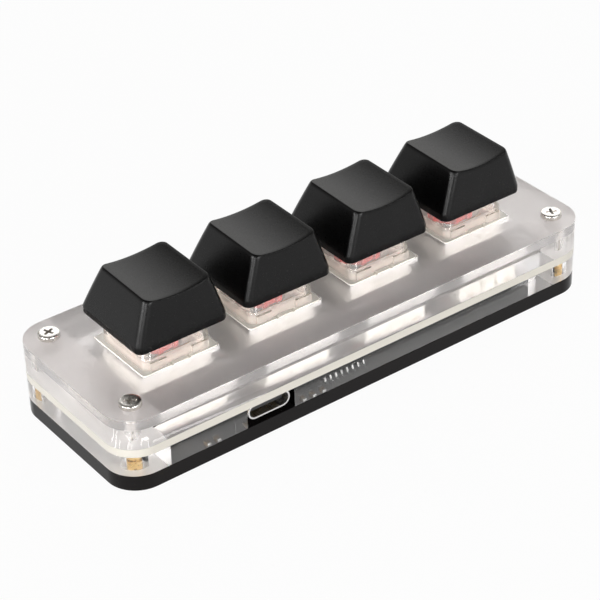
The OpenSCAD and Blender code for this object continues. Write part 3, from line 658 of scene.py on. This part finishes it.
def rounded_copy(node, width):
    bm = merged_copy(node)
    if node in CLEAR_SHEETS:
        leave_air(bm, node)
    bmesh.ops.dissolve_limit(bm, angle_limit=math.radians(FLAT_ANGLE), verts=bm.verts, edges=bm.edges)
    cut_where_finish_changes(bm, node)
    corners = [
        edge for edge in bm.edges
        if len(edge.link_faces) == 2 and edge.calc_face_angle(0) > math.radians(ROUNDED_ANGLE)
    ]
    bmesh.ops.bevel(
        bm, geom=corners, offset=width * MM, segments=EDGE_SEGMENTS, profile=0.5, affect="EDGES",
        clamp_overlap=True, material=-1,
    )
    piece = finish_piece(bm, node)
    if node in CLEAR_SHEETS:
        finish_sheet_faces(piece, node)
    elif node.startswith("top_housing"):
        finish_cover_faces(piece)
    shade_evenly(piece)


# %% Make the copies with rounded edges
KEYS = range(1, 5)
EDGE_WIDTHS = {
    "base_plate": 0.15, "lower_frame": 0.1, "circuit_board": 0.08, "upper_frame": 0.1, "top_plate": 0.12,
    "base_screws": 0.05, "socket_shell": 0.08, "socket_tongue": 0.06, "chip_body": 0.04, "chip_leads": 0.03,
    "capacitors": 0.05, "capacitor_ends": 0.05, "rubber_feet": 0.2,
}
SWITCH_EDGE_WIDTH = 0.08
for key in KEYS:
    for part in ("bottom_housing", "top_housing", "stem"):
        EDGE_WIDTHS[f"{part}_{key}"] = SWITCH_EDGE_WIDTH
for name, width in EDGE_WIDTHS.items():
    rounded_copy(name, width)

# %% [markdown]
# ## Springs
# Each switch holds a wire coil between its floor and the stem. Pressing the key shortens the coil by the
# key's travel while its foot stays put. The coil could be wound again here, but the CAD one has the right
# shape. A smooth copy of it takes its place and moves with the same body.

# %% Copy the springs
WIRE_SHARP_ANGLE = 60


def add_spring(key):
    node, joint = f"spring_{key}", f"key_{key}_press"
    piece = finish_piece(merged_copy(node), node, WIRE_SHARP_ANGLE)
    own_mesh(piece)


for key in KEYS:
    add_spring(key)

# %% [markdown]
# ## Shapes that grow from a cross
# A screw's recess and the hole in a keycap's boss are both crosses. A boolean cut would leave long thin
# faces round them. So the shape grows outwards instead: five squares make a cross, which is the end of the
# hole, their border is pulled to the mouth, and the mouth is bridged to a circle.


# %% Helpers that grow a shape
CIRCLE_POINTS = 48


def pull_border(bm, border, move):
    """Pulls an open border one row on, placing each new point by a function of it. Returns the new border."""
    pulled = bmesh.ops.extrude_edge_only(bm, edges=border)["geom"]
    for vert in (part for part in pulled if isinstance(part, bmesh.types.BMVert)):
        vert.co = move(vert)
    return [part for part in pulled if isinstance(part, bmesh.types.BMEdge) and part.is_boundary]


def edges_of(verts, only_border=False):
    """The edges of some points, each one once and in a fixed order."""
    edges = dict.fromkeys(edge for vert in verts for edge in vert.link_edges)
    return [edge for edge in edges if edge.is_boundary or not only_border]


def cross_sheet(bm, arm, half_widths, level):
    """Five squares in a cross, which are a grid of nine without its corners. Returns their border."""
    # The grid goes from -1 to 1 in thirds, so 0.5 tells its outer squares and points from the inner ones
    verts = bmesh.ops.create_grid(bm, x_segments=3, y_segments=3, size=1)["verts"]
    squares = dict.fromkeys(face for vert in verts for face in vert.link_faces)
    middles = {face: face.calc_center_median() for face in squares}
    corners = [face for face, middle in middles.items() if min(abs(middle.x), abs(middle.y)) > 0.5]
    for vert in verts:
        x, y = vert.co.x, vert.co.y
        vert.co.x = math.copysign(half_widths[0] if abs(x) < 0.5 else arm, x)
        vert.co.y = math.copysign(half_widths[1] if abs(y) < 0.5 else arm, y)
        vert.co.z = level
    bmesh.ops.delete(bm, geom=corners, context="FACES")
    return edges_of([vert for vert in verts if vert.is_valid], only_border=True)


def bridge_to_circle(bm, mouth, radius, level):
    """Fills the ring between an open border and a circle at the same level. Returns the circle's edges."""
    # Two loops at one level can be joined the wrong way round, so the circle starts lower and is raised after
    place = Matrix.Translation((0, 0, level - 1))
    circle = bmesh.ops.create_circle(bm, segments=CIRCLE_POINTS, radius=radius, matrix=place)["verts"]
    rim = edges_of(circle)
    bmesh.ops.bridge_loops(bm, edges=mouth + rim)
    for vert in circle:
        vert.co.z = level
    return rim


# %% [markdown]
# ## Top screws
# Four nickel screws hold the stack together from above. Their heads are low, with a nearly level top that
# mirrors the bright studio behind the keypad, and a cross-shaped recess whose walls read dark. Each head
# starts at the end of its recess, and goes over its edge, in under its rim and down the shank. The sizes
# are in millimetres.

# %% Make the top screws
HEAD_TOP, HEAD_FLAT_RADIUS, HEAD_RADIUS = 1.02, 1.35, 2.0
RECESS_DEPTH, RECESS_ARM, RECESS_HALF_WIDTH, RECESS_TAPER = 0.6, 1.08, 0.27, 0.5
# Radius and level of each row of the head, from its top to its underside
HEAD_ROWS = [
    (1.7, 1.0), (1.86, 0.95), (1.95, 0.87), (1.99, 0.77), (HEAD_RADIUS, 0.65), (HEAD_RADIUS, 0.1), (1.93, 0.0)
]
SHANK_RADIUS = 1.0
# Side along X, side along Y, and how far the cross is turned
SCREW_TURNS = [(-1, -1, 35), (-1, 1, 62), (1, -1, 20), (1, 1, 48)]


def add_screw(bm, length, turn, place):
    first = len(bm.verts)
    floor_half_width = RECESS_HALF_WIDTH * RECESS_TAPER
    border = cross_sheet(
        bm, RECESS_ARM * RECESS_TAPER, (floor_half_width, floor_half_width), HEAD_TOP - RECESS_DEPTH
    )
    mouth = pull_border(
        bm, border, lambda vert: Vector((vert.co.x / RECESS_TAPER, vert.co.y / RECESS_TAPER, HEAD_TOP))
    )
    border = bridge_to_circle(bm, mouth, HEAD_FLAT_RADIUS, HEAD_TOP)
    for radius, level in HEAD_ROWS + [(SHANK_RADIUS, 0.0), (SHANK_RADIUS, -length)]:
        border = pull_border(bm, border, lambda vert: Vector((*(vert.co.xy.normalized() * radius), level)))
    bmesh.ops.contextual_create(bm, geom=border)
    bm.verts.ensure_lookup_table()
    turned = Matrix.Translation(place) @ Matrix.Rotation(math.radians(turn), 4, "Z")
    bmesh.ops.transform(bm, matrix=turned, verts=bm.verts[first:])


lowest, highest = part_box("top_screws")
screw_x, screw_y = highest.x / MM - HEAD_RADIUS, highest.y / MM - HEAD_RADIUS
plate_level = top_of_plate / MM
bm = bmesh.new()
for side_x, side_y, turn in SCREW_TURNS:
    add_screw(bm, plate_level - lowest.z / MM, turn, (side_x * screw_x, side_y * screw_y, plate_level))
bmesh.ops.recalc_face_normals(bm, faces=bm.faces)
bmesh.ops.scale(bm, vec=(MM, MM, MM), verts=bm.verts)
print("open edges of the screws:", sum(edge.is_boundary for edge in bm.edges))
finish_piece(bm, "top_screws")

# %% [markdown]
# ## Keycaps
# A keycap is a hollow moulding: walls that lean inwards over a short upright skirt, a top that is hollowed
# for the finger like a piece of a cylinder, and softly rounded edges where the light catches. The CAD frame
# has it as a lofted shell, but flat facets show in its soft highlights. So it is grown here as one sheet: a
# fine grid for the top, whose border is then pulled over the edge, down the outside, round the lip and up
# the inside. The sizes are in millimetres, and the cap stands on level 0.

# %% Keycap sizes
CAP_BASE, CAP_TOP_WIDTH, CAP_TOP_DEPTH, CAP_LEAN = 18.6, 13.2, 14.6, 1.25
CAP_HEIGHT, CAP_SKIRT, CAP_SWELL, CAP_WALL = 9.75, 1.3, 0.05, 1.4
CAP_BASE_RADIUS, CAP_TOP_RADIUS, CAP_LEAST_RADIUS = 1.5, 1.4, 0.4
DISH_DEPTH, DISH_RISE = 0.9, -0.25
DISH_RADIUS = ((CAP_TOP_WIDTH / 2) ** 2 + DISH_DEPTH ** 2) / (2 * DISH_DEPTH)
CAP_CEILING = CAP_HEIGHT - DISH_DEPTH - CAP_WALL
# How far the rounded top edge reaches in over the top and down the side
EDGE_IN, EDGE_DOWN = 0.22, 0.7
# The share of each side of the grid's border that goes to the outline's straight run
STRAIGHT_SHARE = 2 / 3
print("dish radius in mm:", round(DISH_RADIUS, 2), "ceiling:", round(CAP_CEILING, 2))

# %% [markdown]
# The outline is a rounded square that shrinks and moves as it goes up. Every row of the sheet takes its
# points from it, so each point keeps its place (u, v) on the border of the square from -1 to 1. Where the
# side meets the dish depends on both, so that level is found by going back and forth between the two a few
# times.


# %% The keycap's outline at any level
def cap_outline(u, v, level, inset):
    """Point of the outline for a place (u, v) on the border of the square from -1 to 1."""
    share = max(level - CAP_SKIRT, 0) / (CAP_HEIGHT - CAP_SKIRT)
    swell = CAP_SWELL * 4 * share * (1 - share)
    half_x = CAP_BASE / 2 + (CAP_TOP_WIDTH - CAP_BASE) / 2 * share + swell - inset
    half_y = CAP_BASE / 2 + (CAP_TOP_DEPTH - CAP_BASE) / 2 * share + swell - inset
    radius = CAP_BASE_RADIUS + (CAP_TOP_RADIUS - CAP_BASE_RADIUS) * share - inset / 2
    radius = max(radius, CAP_LEAST_RADIUS)
    side_u, side_v = abs(u), abs(v)
    if side_u >= side_v:
        turn = max(side_v - STRAIGHT_SHARE, 0) / (1 - STRAIGHT_SHARE) * math.pi / 4
        straight_x, straight_y = 1, min(side_v / STRAIGHT_SHARE, 1)
    else:
        turn = math.pi / 2 - max(side_u - STRAIGHT_SHARE, 0) / (1 - STRAIGHT_SHARE) * math.pi / 4
        straight_x, straight_y = min(side_u / STRAIGHT_SHARE, 1), 1
    arc_x = radius * math.cos(turn) if straight_x == 1 else 0
    arc_y = radius * math.sin(turn) if straight_y == 1 else 0
    x = math.copysign(straight_x * (half_x - radius) + arc_x, u)
    y = math.copysign(straight_y * (half_y - radius) + arc_y, v)
    return Vector((x, y + CAP_LEAN * share, level))


def dish_level(x, y):
    slope = math.atan(DISH_RISE / CAP_TOP_DEPTH)
    bottom = CAP_HEIGHT - DISH_DEPTH + DISH_RADIUS - math.sqrt(DISH_RADIUS ** 2 - x ** 2) / math.cos(slope)
    return bottom + (y - CAP_LEAN) * math.tan(slope)


def cap_corner(u, v):
    """Where the side would meet the dished top in a sharp edge."""
    level = CAP_HEIGHT
    for _ in range(6):
        point = cap_outline(u, v, level, 0)
        level = dish_level(point.x, point.y)
    return point


corner = cap_corner(1, 1)
print("sharp corner in mm:", [round(value, 2) for value in corner])


# %% The rows of the sheet
def rounded_edge(share):
    def place(u, v):
        edge = cap_corner(u, v)
        start = cap_outline(u, v, edge.z, EDGE_IN)
        start.z = dish_level(start.x, start.y)
        end = cap_outline(u, v, edge.z - EDGE_DOWN, 0)
        return start * (1 - share) ** 2 + edge * 2 * share * (1 - share) + end * share ** 2
    return place


def side_row(share):
    def place(u, v):
        upper = cap_corner(u, v).z - EDGE_DOWN
        return cap_outline(u, v, upper + (CAP_SKIRT - upper) * share, 0)
    return place


def level_row(level, inset):
    return lambda u, v: cap_outline(u, v, level, inset)


CAP_ROWS = [rounded_edge(share) for share in (0.15, 0.3, 0.45, 0.6, 0.75, 0.9, 1.0)]
CAP_ROWS += [side_row(share) for share in (0.06, 0.25, 0.5, 0.75, 0.9, 0.97, 1.0)]
# Level and inset of the rows down the skirt, round the lip and up the inside, which slopes in at its top
SKIRT_AND_LIP = [(1.15, 0), (0.7, 0), (0.2, 0), (0.06, 0.05), (0, 0.18), (0, CAP_WALL - 0.1), (0.1, CAP_WALL)]
INSIDE_SLOPE = 0.4
INSIDE = [(level, CAP_WALL) for level in (1.3, 3, 5, CAP_CEILING - INSIDE_SLOPE)]
INSIDE += [(CAP_CEILING, CAP_WALL + INSIDE_SLOPE)]
CAP_ROWS += [level_row(level, inset) for level, inset in SKIRT_AND_LIP + INSIDE]
print("rows round a keycap:", len(CAP_ROWS))


# %% Grow a keycap from its top
TOP_GRID_SQUARES = 24


def cap_shell():
    """The layers "u" and "v" keep each point's place on the square's border while the border is pulled on."""
    bm = bmesh.new()
    u_layer, v_layer = bm.verts.layers.float.new("u"), bm.verts.layers.float.new("v")
    bmesh.ops.create_grid(bm, x_segments=TOP_GRID_SQUARES, y_segments=TOP_GRID_SQUARES, size=1)
    top_border = rounded_edge(0)
    for vert in bm.verts:
        u, v = vert.co.x, vert.co.y
        vert[u_layer], vert[v_layer] = u, v
        out = max(abs(u), abs(v))
        border = top_border(u / out, v / out) if out else Vector((0, 0, 0))
        x, y = border.x * out, CAP_LEAN + (border.y - CAP_LEAN) * out
        vert.co = Vector((x, y, dish_level(x, y)))
    border = [edge for edge in bm.edges if edge.is_boundary]
    for row in CAP_ROWS:
        border = pull_border(bm, border, lambda vert: row(vert[u_layer], vert[v_layer]))
    bmesh.ops.contextual_create(bm, geom=border)
    print("keycap shell faces:", len(bm.faces), "open edges:", sum(edge.is_boundary for edge in bm.edges))
    return bm


# %% [markdown]
# Inside, a round boss comes down from the ceiling to take the stem's cross, and four ribs stiffen it. The
# boss grows from its cross-shaped hole as the screws do. The ribs are two crossed bars that reach into the
# walls.

# %% Boss and ribs
BOSS_MOUTH, BOSS_HOLE_DEPTH, BOSS_RADIUS, BOSS_OVERLAP = 0.1, 3.8, 2.75, 0.2
STEM_ARM, STEM_HALF_WIDTHS = 2.065, (0.59, 0.69)
RIB_WIDTH, RIB_HEIGHT, RIB_DROP = 1, 2.0, 0.8
RIB_LENGTHS = (CAP_TOP_WIDTH, CAP_TOP_DEPTH - 0.4)


def at_level(level):
    return lambda vert: Vector((vert.co.x, vert.co.y, level))


def add_boss(bm):
    border = cross_sheet(bm, STEM_ARM, STEM_HALF_WIDTHS, BOSS_MOUTH + BOSS_HOLE_DEPTH)
    mouth = pull_border(bm, border, at_level(BOSS_MOUTH))
    rim = bridge_to_circle(bm, mouth, BOSS_RADIUS, BOSS_MOUTH)
    upper = pull_border(bm, rim, at_level(CAP_CEILING + BOSS_OVERLAP))
    bmesh.ops.contextual_create(bm, geom=upper)


def add_rib(bm, length, depth):
    place = Matrix.Translation((0, CAP_LEAN / 2, CAP_CEILING - RIB_DROP))
    bmesh.ops.create_cube(bm, size=1, matrix=place @ Matrix.Diagonal((length, depth, RIB_HEIGHT, 1)))


def add_keycap(key):
    node = f"keycap_{key}"
    lowest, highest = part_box(node)
    bm = cap_shell()
    add_boss(bm)
    add_rib(bm, RIB_LENGTHS[0], RIB_WIDTH)
    add_rib(bm, RIB_WIDTH, RIB_LENGTHS[1])
    bmesh.ops.recalc_face_normals(bm, faces=bm.faces)
    bmesh.ops.scale(bm, vec=(MM, MM, MM), verts=bm.verts)
    bmesh.ops.translate(bm, vec=((lowest.x + highest.x) / 2, 0, lowest.z), verts=bm.verts)
    shade_evenly(finish_piece(bm, node))


for key in KEYS:
    add_keycap(key)
